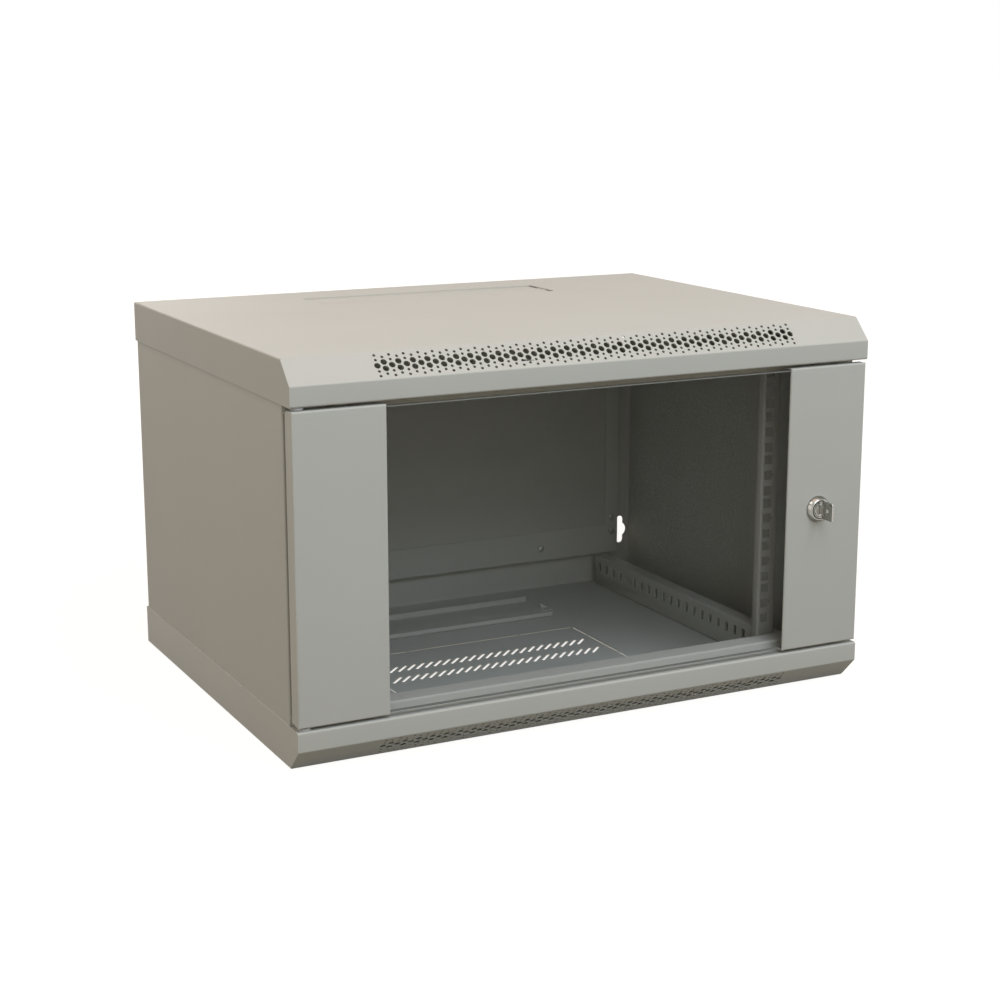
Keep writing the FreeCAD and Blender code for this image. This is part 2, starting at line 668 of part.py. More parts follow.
def hinge_spring():
    """A coil between the collar and the lower guide, made of straight runs."""
    low, high = GUIDE_EAR + EAR + SPRING_WIRE / 2, UPPER_EAR - PIN_COLLAR - SPRING_WIRE / 2
    runs = SPRING_TURNS * SPRING_SIDES
    corners = []
    for i in range(runs + 1):
        angle = 2 * math.pi * i / SPRING_SIDES
        corners.append(PIVOT + V(math.cos(angle), math.sin(angle), 0) * SPRING_RADIUS
                       + V(0, 0, low + (high - low) * i / runs))
    path = Part.makePolygon(corners)
    section = polygon(ring(SPRING_WIRE / 2, 4, corners[0], corners[1] - corners[0])).OuterWire
    shell = Part.BRepOffsetAPI.MakePipeShell(path)
    shell.setTransitionMode(1)
    shell.add(section, False, True)
    shell.build()
    shell.makeSolid()
    return shell.shape()


def hinge_bush_lower():
    """A flanged bush in the lip's return, seen as the lower one."""
    body = pivot_bar(RIM - SHEET, RIM, BUSH_RADIUS)
    flange = pivot_bar(RIM, RIM + BUSH_FLANGE, BUSH_FLANGE_RADIUS)
    return body.fuse(flange).cut(pivot_bar(RIM - 2 * SHEET, DOOR_LOW, PIN_RADIUS + PIN_CLEARANCE))


# ---------------------------------------------------------------- lock
def lock_bar(radius, start, end, sides=LOCK_SIDES, end_radius=None):
    """A prism about the lock's axis between two depths behind the front plane."""
    return bar(radius, LOCK + V(0, start, 0), LOCK + V(0, end, 0), sides, end_radius)


def lock_block(half_x, start, end, half_z):
    """A block about the lock's axis between two depths behind the front plane."""
    return box((LOCK.x - half_x, LOCK.x + half_x), (FRONT + start, FRONT + end),
               (LOCK.z - half_z, LOCK.z + half_z))


def lock_housing():
    bezel = lock_bar(LOCK_BEZEL_RADIUS, 0, -LOCK_BEZEL, LOCK_SIDES, LOCK_FACE_RADIUS)
    body = lock_bar(LOCK_RADIUS, 0, LOCK_LENGTH)
    bore = lock_bar(PLUG_RADIUS + PLUG_CLEARANCE, -LOCK_BEZEL - SHEET, LOCK_LENGTH + SHEET)
    return body.fuse(bezel).cut(bore)


def cam_thread():
    """The cam's screw, or its hole in the plug."""
    start, end = PLUG_SHOULDER - CAM_THICKNESS, PLUG_SHOULDER + CAM_THICKNESS
    return lock_bar(CAM_SCREW_RADIUS, start, end, FASTENER_SIDES)


def lock_plug():
    """The turning barrel, square behind its shoulder where the cam sits."""
    barrel = lock_bar(PLUG_RADIUS, -LOCK_BEZEL + PLUG_RECESS, PLUG_SHOULDER)
    half = CAM_SQUARE / 2
    square = lock_block(half, PLUG_SHOULDER, PLUG_SHOULDER + CAM_THICKNESS, half)
    slot_end = KEY_BLADE_LENGTH - LOCK_BEZEL + KEY_CLEARANCE
    slot = lock_block(KEY_THICKNESS / 2 + KEY_CLEARANCE, -LOCK_BEZEL, slot_end,
                      KEY_BLADE_HEIGHT / 2 + KEY_CLEARANCE)
    return barrel.fuse(square).cut([slot, cam_thread()])


def lock_nut():
    nut = lock_bar(NUT_ACROSS / math.sqrt(3), SHEET, SHEET + NUT_THICKNESS, 6)
    return nut.cut(lock_bar(LOCK_RADIUS, SHEET, SHEET + NUT_THICKNESS))


def lock_cam():
    """The tongue that turns in behind the side panel's flange; unlocked, it points up."""
    corner = CAM_WIDTH / 4
    left, right = LOCK.x - CAM_WIDTH / 2, LOCK.x + CAM_WIDTH / 2
    low, high = LOCK.z - CAM_WIDTH / 2, LOCK.z + CAM_LENGTH
    outline = points((left + corner, low), (right - corner, low), (right, low + corner),
                     (right, high - corner), (right - corner, high), (left + corner, high),
                     (left, high - corner), (left, low + corner))
    start = FRONT + PLUG_SHOULDER
    plate = along_y(polygon(outline), start, start + CAM_THICKNESS)
    square = CAM_SQUARE / 2
    return plate.cut(lock_block(square, LOCK_LENGTH, PLUG_SHOULDER + 2 * CAM_THICKNESS, square))


def cam_screw():
    face = PLUG_SHOULDER + CAM_THICKNESS
    return cam_thread().fuse(lock_bar(CAM_SCREW_HEAD_RADIUS, face, face + CAM_SCREW_HEAD, FASTENER_SIDES))


def key():
    """A flat key, its bow upright and outside the lock."""
    near = -LOCK_BEZEL - KEY_NECK
    far = near - KEY_BOW_LENGTH
    bow = lock_block(KEY_THICKNESS / 2, far, near, KEY_BOW_HEIGHT / 2)
    corners = [edge for edge in bow.Edges if abs(edge.Length - KEY_THICKNESS) < 1e-6]
    bow = bow.makeChamfer(KEY_BOW_CORNER, corners)
    blade = lock_block(KEY_THICKNESS / 2, near, KEY_BLADE_LENGTH - LOCK_BEZEL, KEY_BLADE_HEIGHT / 2)
    middle = V(LOCK.x, FRONT + (near + far) / 2, LOCK.z)
    side = V(KEY_THICKNESS, 0, 0)
    return joined([bow, blade]).cut(bar(KEY_HOLE_RADIUS, middle - side, middle + side, FASTENER_SIDES))


# ---------------------------------------------------------------- the parts folder
def pieces():
    """Every node's shape by name."""
    made = {
        "bottom_cover": bottom_cover(),
        "top_cover": top_cover(),
        "cable_entry_tray_bottom": entry_tray(),
        "front_sill_bottom": sill(),
        "right_side_panel": right_side_panel(),
        "door_bumpers": bumpers(),
        "rear_frame": rear_frame(),
        "rear_panel": rear_panel(),
        "depth_rail_bottom_right": depth_rail_bottom_right(),
        "rack_rail_right": rack_rail_right(),
        "rack_rail_screws": rack_screws(),
        "rack_rail_nuts": rack_nuts(),
        "door_lock_strip": door_lock_strip(),
        "door_hinge_strip": door_hinge_strip(),
        "door_glass": door_glass(),
        "glass_tape_right": glass_tape_right(),
        "hinge_bracket_lower": hinge_bracket_lower(),
        "hinge_bracket_upper": hinge_bracket_upper(),
        "hinge_pin_lower": hinge_pin_lower(),
        "hinge_pin_upper": hinge_pin_upper(),
        "hinge_spring": hinge_spring(),
        "hinge_bush_lower": hinge_bush_lower(),
        "lock_housing": lock_housing(),
        "lock_plug": lock_plug(),
        "lock_nut": lock_nut(),
        "lock_cam": lock_cam(),
        "lock_cam_screw": cam_screw(),
        "key": key(),
    }
    made["cable_entry_tray_top"] = mirror_z(made["cable_entry_tray_bottom"])
    made["front_sill_top"] = mirror_z(made["front_sill_bottom"])
    made["hinge_bush_upper"] = mirror_z(made["hinge_bush_lower"])
    made["left_side_panel"] = mirror_x(made["right_side_panel"])
    made["rack_rail_left"] = mirror_x(made["rack_rail_right"])
    made["glass_tape_left"] = mirror_x(made["glass_tape_right"])
    made["depth_rail_bottom_left"] = mirror_x(made["depth_rail_bottom_right"])
    made["depth_rail_top_right"] = mirror_z(made["depth_rail_bottom_right"])
    made["depth_rail_top_left"] = mirror_x(made["depth_rail_top_right"])
    return made


os.makedirs("parts", exist_ok=True)
for node, shape in pieces().items():
    shape.exportStep("parts/" + node + ".step")
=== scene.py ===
import json
import math

import bmesh
import bpy
from mathutils import Matrix, Vector


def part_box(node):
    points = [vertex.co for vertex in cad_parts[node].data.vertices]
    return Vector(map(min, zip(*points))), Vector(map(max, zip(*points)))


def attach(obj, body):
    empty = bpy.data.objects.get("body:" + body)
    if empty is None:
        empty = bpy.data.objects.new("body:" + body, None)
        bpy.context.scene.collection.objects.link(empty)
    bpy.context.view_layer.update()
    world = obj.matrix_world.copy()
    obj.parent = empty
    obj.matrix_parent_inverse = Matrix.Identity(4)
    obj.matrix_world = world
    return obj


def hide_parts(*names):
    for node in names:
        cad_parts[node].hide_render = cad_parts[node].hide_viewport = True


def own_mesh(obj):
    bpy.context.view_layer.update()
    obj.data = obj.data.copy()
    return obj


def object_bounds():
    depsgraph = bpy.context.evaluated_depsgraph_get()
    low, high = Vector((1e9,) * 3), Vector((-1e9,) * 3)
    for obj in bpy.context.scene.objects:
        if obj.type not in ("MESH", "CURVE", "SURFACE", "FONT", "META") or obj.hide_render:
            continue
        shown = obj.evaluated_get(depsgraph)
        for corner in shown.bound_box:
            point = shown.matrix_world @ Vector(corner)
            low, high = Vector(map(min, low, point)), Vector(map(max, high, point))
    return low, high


# Wall mount network cabinet, dressed for its portrait. Lengths are written in millimetres and scaled by MM.

MM = 0.001

# ---------------------------------------------------------------- sizes that the frame doesn't give
FRONT = -225.0              # the front plane's y; a depth is counted back from it
HEIGHT = 368.0
MIDDLE = HEIGHT / 2
CHAMFER_DEPTH = 21.0
CHAMFER_HEIGHT = 21.5
VENT_COLUMNS = 63
VENT_PITCH = 6.93
LARGE_VENT = 3.0            # radii
SMALL_VENT = 1.4
ODD_ROWS = {LARGE_VENT: (0.0,), SMALL_VENT: (-11.05, -6.05, 6.05, 11.05)}
EVEN_ROWS = {LARGE_VENT: (-3.5, 3.5), SMALL_VENT: (-8.95, 8.95)}
FOLD_RADIUS = 2.2           # outside radius asked for at a fold in the sheet
EDGE_RADIUS = 0.2           # rounding asked for at a cut edge
SHEET_EDGE = 2.6            # a face narrower than this is a sheet's cut edge
CRISP_ANGLE = math.radians(35)
SHORTEST_EDGE = 2.5         # in radii: an edge shorter than this keeps its corner
X_AXIS, Y_AXIS, Z_AXIS = Vector((1, 0, 0)), Vector((0, 1, 0)), Vector((0, 0, 1))

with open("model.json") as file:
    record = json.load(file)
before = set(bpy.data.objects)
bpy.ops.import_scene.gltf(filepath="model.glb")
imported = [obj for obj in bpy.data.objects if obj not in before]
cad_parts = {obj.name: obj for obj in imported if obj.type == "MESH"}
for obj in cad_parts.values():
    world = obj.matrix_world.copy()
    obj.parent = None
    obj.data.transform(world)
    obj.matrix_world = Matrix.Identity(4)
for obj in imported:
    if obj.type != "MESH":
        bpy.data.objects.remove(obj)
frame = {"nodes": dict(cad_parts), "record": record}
cad_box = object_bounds()


# ---------------------------------------------------------------- material helpers
def new_material(name):
    """A material with its Principled shader and its node tree."""
    material = bpy.data.materials.new(name)
    material.use_nodes = True
    return material, material.node_tree, material.node_tree.nodes["Principled BSDF"]


def add_node(tree, kind, inputs=None, **settings):
    """A shader node with its settings and its inputs' values."""
    node = tree.nodes.new(kind)
    for key, value in settings.items():
        setattr(node, key, value)
    for key, value in (inputs or {}).items():
        node.inputs[key].default_value = value
    return node


def noise(tree, scale, detail):
    """Noise in the object's own metres, so that it keeps its size on every piece."""
    place = add_node(tree, "ShaderNodeTexCoord")
    texture = add_node(tree, "ShaderNodeTexNoise", {"Scale": scale, "Detail": detail})
    tree.links.new(place.outputs["Object"], texture.inputs["Vector"])
    return texture.outputs["Fac"]


def spread(tree, source, low, high):
    """The source's middle range, mapped to low..high."""
    remap = add_node(tree, "ShaderNodeMapRange",
                     {"From Min": 0.3, "From Max": 0.7, "To Min": low, "To Max": high})
    tree.links.new(source, remap.inputs["Value"])
    return remap.outputs["Result"]


def add_clouds(tree, shader, scale, detail, dark, light):
    """A base colour that wanders softly between dark and light."""
    clouds = noise(tree, scale, detail)
    mix = add_node(tree, "ShaderNodeMix", data_type="RGBA")
    mix.inputs["A"].default_value = (*dark, 1)
    mix.inputs["B"].default_value = (*light, 1)
    tree.links.new(spread(tree, clouds, 0, 1), mix.inputs["Factor"])
    tree.links.new(mix.outputs["Result"], shader.inputs["Base Color"])
    return clouds


def add_roughness(tree, shader, pattern, low, high):
    """A roughness that follows the pattern between low and high."""
    tree.links.new(spread(tree, pattern, low, high), shader.inputs["Roughness"])


def add_bump(tree, shader, height, distance, strength):
    """Relief from a height pattern; the distance is in millimetres."""
    bump = add_node(tree, "ShaderNodeBump", {"Distance": distance * MM, "Strength": strength})
    tree.links.new(height, bump.inputs["Height"])
    tree.links.new(bump.outputs["Normal"], shader.inputs["Normal"])


def shade(colour, share):
    return tuple(channel * share for channel in colour)


# ---------------------------------------------------------------- materials
PAINT = (0.56, 0.56, 0.533)


def powder_coat():
    """Light grey powder coat: fine orange peel, and a gloss that wanders slightly."""
    material, tree, shader = new_material("powder_coat")
    add_clouds(tree, shader, 9.0, 3.0, shade(PAINT, 0.975), PAINT)
    add_roughness(tree, shader, noise(tree, 150.0, 2.0), 0.54, 0.57)
    shader.inputs["Specular IOR Level"].default_value = 0.18
    add_bump(tree, shader, noise(tree, 900.0, 1.0), 0.02, 0.03)
    return material


def clear_glass():
    """Toughened glass that lets light into the cabinet and mirrors more at a glancing angle."""
    material, tree, shader = new_material("clear_glass")
    clouds = add_clouds(tree, shader, 6.0, 2.0, (0.018, 0.023, 0.02), (0.022, 0.027, 0.024))
    add_roughness(tree, shader, clouds, 0.015, 0.03)
    shader.inputs["IOR"].default_value = 1.45
    glance = add_node(tree, "ShaderNodeLayerWeight")
    steep = add_node(tree, "ShaderNodeMath", {1: 5.0}, operation="POWER")
    tree.links.new(glance.outputs["Facing"], steep.inputs[0])
    cover = add_node(tree, "ShaderNodeMapRange", {"To Min": 0.04, "To Max": 0.9})
    tree.links.new(steep.outputs["Value"], cover.inputs["Value"])
    tree.links.new(cover.outputs["Result"], shader.inputs["Alpha"])
    return material


def metal(name, colour, roughness):
    """Plated or bare metal, faintly cloudy and finely grained."""
    material, tree, shader = new_material(name)
    shader.inputs["Metallic"].default_value = 1.0
    add_clouds(tree, shader, 60.0, 3.0, shade(colour, 0.86), colour)
    grain = noise(tree, 700.0, 3.0)
    add_roughness(tree, shader, grain, roughness - 0.05, roughness + 0.08)
    add_bump(tree, shader, grain, 0.02, 0.3)
    return material


def plain_plastic(name, colour, roughness):
    """Moulded or ground matt surface."""
    material, tree, shader = new_material(name)
    add_clouds(tree, shader, 80.0, 2.0, shade(colour, 0.9), colour)
    grain = noise(tree, 1200.0, 2.0)
    add_roughness(tree, shader, grain, roughness - 0.06, roughness + 0.06)
    add_bump(tree, shader, grain, 0.02, 0.3)
    return material


MATERIALS = {
    "paint": powder_coat(),
    "glass": clear_glass(),
    "zinc": metal("zinc_plate", (0.52, 0.52, 0.50), 0.38),
    "chrome": metal("satin_nickel", (0.44, 0.435, 0.405), 0.24),
    "rubber": plain_plastic("black_rubber", (0.03, 0.03, 0.03), 0.75),
    "nylon": plain_plastic("grey_nylon", (0.5, 0.5, 0.52), 0.5),
    "tape": plain_plastic("foam_tape", (0.04, 0.04, 0.04), 0.9),
}
POLISHED_NICKEL = metal("polished_nickel", (0.34, 0.335, 0.31), 0.15)
# very light, warm bare steel for the knock-out's slit walls: partly the cut metal's own colour, partly a
# painted highlight so that the slits look lit through
SLIT_HIGHLIGHT_STEEL = metal("bare_steel_painted_highlight", (0.9, 0.86, 0.78), 0.3)
GROUND_GLASS = plain_plastic("ground_glass", (0.23, 0.235, 0.22), 0.3)

# the slot and the body of every CAD node
SLOTS = {part["node"]: part["material_slot"] for part in frame["record"]["subparts"]}
BODIES = {node: body for body, nodes in frame["record"]["behaviour"]["bodies"].items() for node in nodes}


def paint_cad_nodes():
    """Every CAD node gets its slot's material."""
    for node, slot in SLOTS.items():
        mesh = frame["nodes"][node].data
        mesh.materials.clear()
        mesh.materials.append(MATERIALS[slot])


# ---------------------------------------------------------------- mesh helpers
def finished(skin, name):
    """The bmesh as a mesh of its own."""
    mesh = bpy.data.meshes.new(name)
    skin.to_mesh(mesh)
    skin.free()
    return mesh


def add_piece(name, mesh, body, slot, *nodes):
    """A new piece on a CAD body, which stands for the CAD nodes named."""
    piece = bpy.data.objects.new(name, mesh)
    bpy.context.scene.collection.objects.link(piece)
    mesh.materials.clear()
    mesh.materials.append(MATERIALS[slot])
    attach(piece, body)
    if nodes:
        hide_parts(*nodes)
    return piece


def smooth_folds(mesh, angle=25.0):
    """Smooth shading across folds, sharp at real edges."""
    mesh.polygons.foreach_set("use_smooth", [True] * len(mesh.polygons))
    mesh.set_sharp_from_angle(angle=math.radians(angle))


def welded_copy(node):
    """The CAD node's mesh as a new one, its faces joined into a closed skin."""
    mesh = frame["nodes"][node].data.copy()
    if mesh.attributes.get("custom_normal"):
        mesh.attributes.remove(mesh.attributes["custom_normal"])
    skin = bmesh.new()
    skin.from_mesh(mesh)
    bmesh.ops.remove_doubles(skin, verts=skin.verts, dist=0.001 * MM)
    bmesh.ops.dissolve_limit(skin, angle_limit=math.radians(0.5), verts=skin.verts, edges=skin.edges)
    skin.to_mesh(mesh)
    skin.free()
    return mesh


def applied(piece, modifier_type, **settings):
    """The piece's mesh with one modifier applied."""
    modifier = piece.modifiers.new(modifier_type.lower(), modifier_type)
    for key, value in settings.items():
        setattr(modifier, key, value)
    graph = bpy.context.evaluated_depsgraph_get()
    made = bpy.data.meshes.new_from_object(piece.evaluated_get(graph))
    piece.modifiers.clear()
    return made


def narrower_width(edge):
    """The width of the narrower of the edge's two faces, in millimetres."""
    return min(face.calc_area() / max(side.calc_length() for side in face.edges)
               for face in edge.link_faces) / MM


def soften(mesh, fold, rim):
    """Bevels the folds widely and every other crisp edge finely.

    The overlap clamp can shrink a bevel: the covers, door strips and side panels stay all but sharp.
    """
    skin = bmesh.new()
    skin.from_mesh(mesh)
    for radius, wide in ((fold, True), (rim, False)):
        if not radius:
            continue
        edges = [edge for edge in skin.edges if len(edge.link_faces) == 2
                 and edge.calc_face_angle_signed(0) > CRISP_ANGLE
                 and edge.calc_length() > SHORTEST_EDGE * radius * MM
                 and (narrower_width(edge) > SHEET_EDGE) == wide]
        bmesh.ops.bevel(skin, geom=edges, offset=radius * MM, segments=4 if wide else 2, profile=0.5,
                        affect="EDGES", clamp_overlap=True)
    skin.to_mesh(mesh)
    skin.free()
    smooth_folds(mesh)


def soften_node(node, fold=FOLD_RADIUS, rim=EDGE_RADIUS):
    """A piece in the CAD node's shape and place, bevelled as far as soften goes."""
    mesh = welded_copy(node)
    soften(mesh, fold, rim)
    return add_piece(node + "_detail", mesh, BODIES[node], SLOTS[node], node)


def turned(rings, centre, axis, segments):
    """A closed profile of (radius, distance along the axis) in millimetres, turned about the axis."""
    side = axis.orthogonal().normalized()
    third = axis.cross(side)
    skin = bmesh.new()
    loops = []
    for radius, along in rings:
        loop = []
        for step in range(segments):
            angle = math.tau * step / segments
            radial = (side * math.cos(angle) + third * math.sin(angle)) * radius
            loop.append(skin.verts.new((centre + axis * along + radial) * MM))
        loops.append(loop)
    for first, second in zip(loops, loops[1:] + loops[:1]):
        for step in range(segments):
            after = (step + 1) % segments
            skin.faces.new((first[step], first[after], second[after], second[step]))
    bmesh.ops.remove_doubles(skin, verts=skin.verts, dist=0.0005 * MM)
    bmesh.ops.recalc_face_normals(skin, faces=skin.faces)
    mesh = finished(skin, "turned")
    smooth_folds(mesh, 32)
    return mesh


def joined(meshes):
    """Several meshes as one."""
    skin = bmesh.new()
    for mesh in meshes:
        skin.from_mesh(mesh)
    return finished(skin, "joined")


def plate(outline, low, high):
    """An outline of (depth, z) in millimetres as a plate between two x values."""
    skin = bmesh.new()
    corners = [skin.verts.new(Vector((low, FRONT + depth, z)) * MM) for depth, z in outline]
    made = bmesh.ops.extrude_face_region(skin, geom=[skin.faces.new(corners)])
    moved = [item for item in made["geom"] if isinstance(item, bmesh.types.BMVert)]
    bmesh.ops.translate(skin, verts=moved, vec=((high - low) * MM, 0, 0))
    bmesh.ops.recalc_face_normals(skin, faces=skin.faces)
    return finished(skin, "plate")


def loose_object(mesh):
    """An object for the length of a boolean, which is removed after use."""
    helper = bpy.data.objects.new("helper", mesh)
    bpy.context.scene.collection.objects.link(helper)
    return helper


def cut(piece, mesh):
    """Takes the mesh's volume out of the piece."""
    helper = loose_object(mesh)
    piece.data = applied(piece, "BOOLEAN", operation="DIFFERENCE", object=helper, solver="EXACT")
    bpy.data.objects.remove(helper)


# ---------------------------------------------------------------- covers
VENT_BAR = 5.0              # length of a cutting bar, through the sheet
KNOCKOUT_REACH = 150.0      # the fan knock-out lies nearer to the middle than this
KNOCKOUT_FRONT = 50.0       # and deeper than this
KNOCKOUT_WALL = 200.0       # its slits' and slots' walls are smaller than this, in square millimetres


def vent_cutter(upper):
    """One mesh of short round bars, a bar for each hole of a cover's chamfer."""
    low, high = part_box("top_cover" if upper else "bottom_cover")
    outer_z, side = (high.z, -1) if upper else (low.z, 1)
    middle = Vector((0, low.y + CHAMFER_DEPTH / 2 * MM, outer_z + side * CHAMFER_HEIGHT / 2 * MM))
    along = Vector((0, CHAMFER_DEPTH, -side * CHAMFER_HEIGHT)).normalized()
    turn = Matrix((X_AXIS, along, X_AXIS.cross(along))).transposed().to_4x4()
    bars = bmesh.new()
    for column in range(VENT_COLUMNS):
        x = (column - (VENT_COLUMNS - 1) / 2) * VENT_PITCH * MM
        for radius, rows in (EVEN_ROWS if column % 2 else ODD_ROWS).items():
            for row in rows:
                place = middle + X_AXIS * x + along * row * MM
                bmesh.ops.create_cone(bars, cap_ends=True, segments=32 if radius == LARGE_VENT else 20,
                                      radius1=radius * MM, radius2=radius * MM, depth=VENT_BAR * MM,
                                      matrix=Matrix.Translation(place) @ turn)
    return finished(bars, "vent_bars")


def dress_cover(node, upper):
    mesh = welded_copy(node)
    soften(mesh, FOLD_RADIUS, 0)
    cover = add_piece(node + "_sheet", mesh, BODIES[node], SLOTS[node], node)
    cut(cover, vent_cutter(upper))
    smooth_folds(cover.data)
    if not upper:
        knockout_painted_highlight(cover.data)


def knockout_painted_highlight(mesh):
    """The walls of the fan knock-out's slits and slots are bare steel, made far lighter than the zinc:
    partly the cut metal, partly a painted highlight for the light that shines through the slits.
    """
    mesh.materials.append(SLIT_HIGHLIGHT_STEEL)
    cover_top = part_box("bottom_cover")[1].z / MM
    for face in mesh.polygons:
        place = face.center / MM
        is_wall = abs(face.normal.z) < 0.5 and face.area < KNOCKOUT_WALL * MM * MM
        is_near = abs(place.x) < KNOCKOUT_REACH and place.y > FRONT + KNOCKOUT_FRONT
        if is_wall and is_near and place.z < cover_top / 2:
            face.material_index = 1


# ---------------------------------------------------------------- lock
LOCK_X = 247.0
BEZEL = ((13.0, 0.0), (13.0, -0.7), (12.8, -1.3), (10.95, -4.25), (10.5, -4.95), (10.0, -5.35),
         (9.7, -5.5), (9.35, -5.4), (9.2, -5.0), (9.1, -4.3), (8.8, -4.1), (8.5, -4.3), (8.4, -4.9),
         (8.2, -5.25), (7.6, -5.4), (6.95, -5.35), (6.6, -5.1))     # radius, depth
BARREL_END = ((6.6, 24.3), (8.6, 24.3))
THREAD_DEPTHS = range(24, 1, -1)
THREAD_TURN = ((8.7, 0.0), (9.0, -0.35), (9.0, -0.6), (8.7, -0.95))  # radius, distance from the turn's rear
THREAD_ROOT = 8.7
PLUG_MARK = ((0, -6), (1.15, -6), (1.15, -4.75), (0.6, -4.5), (0, -4.45))
PLUG_MARK_OFFSET = Vector((-3.6, 0, 2.2))
CAM_REAR = 26.6             # depth of the cam's rear face
KEY_HALF = 1.0              # half the key's thickness
BOW_LOW, BOW_HIGH = MIDDLE - 8.3, MIDDLE + 9.5
KEY_OUTLINE = (
    (-24.0, BOW_LOW), (-24.7, BOW_LOW + 0.3), (-25.0, BOW_LOW + 1.0), (-25.0, BOW_HIGH - 1.6),
    (-24.7, BOW_HIGH - 0.7), (-24.0, BOW_HIGH - 0.1), (-23.4, BOW_HIGH), (-11.5, BOW_HIGH),
    (-9.6, BOW_HIGH - 0.6), (-8.3, BOW_HIGH - 2.0), (-7.5, MIDDLE + 4.0), (13.4, MIDDLE + 4.0),
    (14.5, MIDDLE + 2.6), (14.5, MIDDLE - 1.2), (13.2, MIDDLE - 2.6), (12.0, MIDDLE - 2.6),
    (11.2, MIDDLE - 1.4), (10.0, MIDDLE - 1.4), (9.2, MIDDLE - 3.2), (8.0, MIDDLE - 3.2),
    (7.0, MIDDLE - 1.9), (5.8, MIDDLE - 1.9), (4.8, MIDDLE - 3.4), (3.6, MIDDLE - 3.4),
    (2.6, MIDDLE - 2.2), (1.4, MIDDLE - 2.2), (0.2, MIDDLE - 4.0), (-7.5, MIDDLE - 4.0),
    (-8.3, BOW_LOW + 1.8), (-9.6, BOW_LOW + 0.5), (-11.0, BOW_LOW),
)                                                                   # depth, z
KEY_HOLE_PLACE = Vector((LOCK_X, FRONT - 17.5, MIDDLE + 1.0))
KEY_HOLE_RADIUS = 2.0
KEY_HOLE_CUT = 3.0          # half the length of its cutting bar


def lock_point(depth=0.0):
    """A point on the lock's axis."""
    return Vector((LOCK_X, FRONT + depth, MIDDLE))


def add_barrel():
    """The housing, with a coned bezel and a threaded body."""
    thread = [(radius, depth + along) for depth in THREAD_DEPTHS for radius, along in THREAD_TURN]
    mesh = turned([*BEZEL, *BARREL_END, *thread, (THREAD_ROOT, 0.0)], lock_point(), Y_AXIS, 72)
    barrel = add_piece("lock_barrel", mesh, BODIES["lock_housing"], "chrome", "lock_housing")
    barrel.data.materials[0] = POLISHED_NICKEL


def add_key():
    """Flat key with a holed bow and a cut blade."""
    mesh = plate(KEY_OUTLINE, LOCK_X - KEY_HALF, LOCK_X + KEY_HALF)
    key = add_piece("flat_key", mesh, BODIES["key"], "chrome", "key")
    bar = ((0, -KEY_HOLE_CUT), (KEY_HOLE_RADIUS, -KEY_HOLE_CUT), (KEY_HOLE_RADIUS, KEY_HOLE_CUT),
           (0, KEY_HOLE_CUT))
    cut(key, turned(bar, KEY_HOLE_PLACE, X_AXIS, 32))
    key.data = applied(key, "BEVEL", width=0.25 * MM, segments=2, limit_method="ANGLE",
                       angle_limit=math.radians(40))
    smooth_folds(key.data, 35)


def add_lock():
    """Barrel, plug with its mark, key, nut, cam and the cam's screw."""
    add_barrel()
    plug = soften_node("lock_plug", 0, 0.3)
    cut(plug, turned(PLUG_MARK, lock_point() + PLUG_MARK_OFFSET, Y_AXIS, 20))
    smooth_folds(plug.data, 30)
    add_key()
    soften_node("lock_nut", 0, 0.35)
    soften_node("lock_cam", 0, 0.25)
    add_screw_heads("cam_screw_head", [(lock_point(CAM_REAR), Y_AXIS)], 2.4, BODIES["lock_cam_screw"],
                    "lock_cam_screw", shank=4.0)


# ---------------------------------------------------------------- screws
SCREW_RADIUS = 4.0          # of the head
PAN_HEAD = ((0.94, 0.0), (1.0, 0.12), (0.97, 0.5), (0.86, 0.76), (0.62, 0.93), (0.3, 1.0), (0.0, 1.0))
SEAT = 0.02                 # how far a head is let into what it holds
RECESS_LENGTH, RECESS_WIDTH, RECESS_DEPTH = 1.05, 0.24, 1.1         # shares of the head's radius and height
REAR_SCREWS = ((267.0, 104.0), (267.0, 121.0), (172.0, 132.0))      # x, and z counted from the middle
REAR_FRAME_FACE = 435.0     # depth of the rear frame's front face


def screw_head(place, out, height, shank):
    """A pan head with a cross recess, standing out from place."""
    rings = [(0, -shank), (SCREW_RADIUS / 2, -shank)] if shank else [(0, -SEAT)]
    rings += [(SCREW_RADIUS / 2, -SEAT)]
    rings += [(SCREW_RADIUS * wide, height * tall) for wide, tall in PAN_HEAD]
    piece = loose_object(turned(rings, place, out, 32))
    side = out.orthogonal().normalized()
    for across, width in ((side, out.cross(side)), (out.cross(side), side)):
        slot = bmesh.new()
        bmesh.ops.create_cube(slot, size=1.0)
        turn = Matrix((across, width, out)).transposed().to_4x4()
        size = Matrix.Diagonal((SCREW_RADIUS * RECESS_LENGTH * MM, SCREW_RADIUS * RECESS_WIDTH * MM,
                                height * RECESS_DEPTH * MM, 1))
        slot.transform(Matrix.Translation((place + out * height) * MM) @ turn @ size)
        bmesh.ops.recalc_face_normals(slot, faces=slot.faces)
        cut(piece, finished(slot, "slot"))
    mesh = piece.data
    bpy.data.objects.remove(piece)
    return mesh


def add_screw_heads(name, places, height, body, *nodes, shank=0.0):
    """Pan heads at the places, each given with the way it faces, as one piece."""
    mesh = joined([screw_head(place, out, height, shank) for place, out in places])
    smooth_folds(mesh, 30)
    add_piece(name, mesh, body, "zinc", *nodes)


def add_rear_screws():
    """Twelve pan heads that hold the rear panel to its frame."""
    places = [(Vector((across * x, FRONT + REAR_FRAME_FACE, MIDDLE + up * z)), -Y_AXIS)
              for x, z in REAR_SCREWS for across in (-1, 1) for up in (-1, 1)]
    add_screw_heads("rear_panel_screws", places, 2.2, "cabinet")


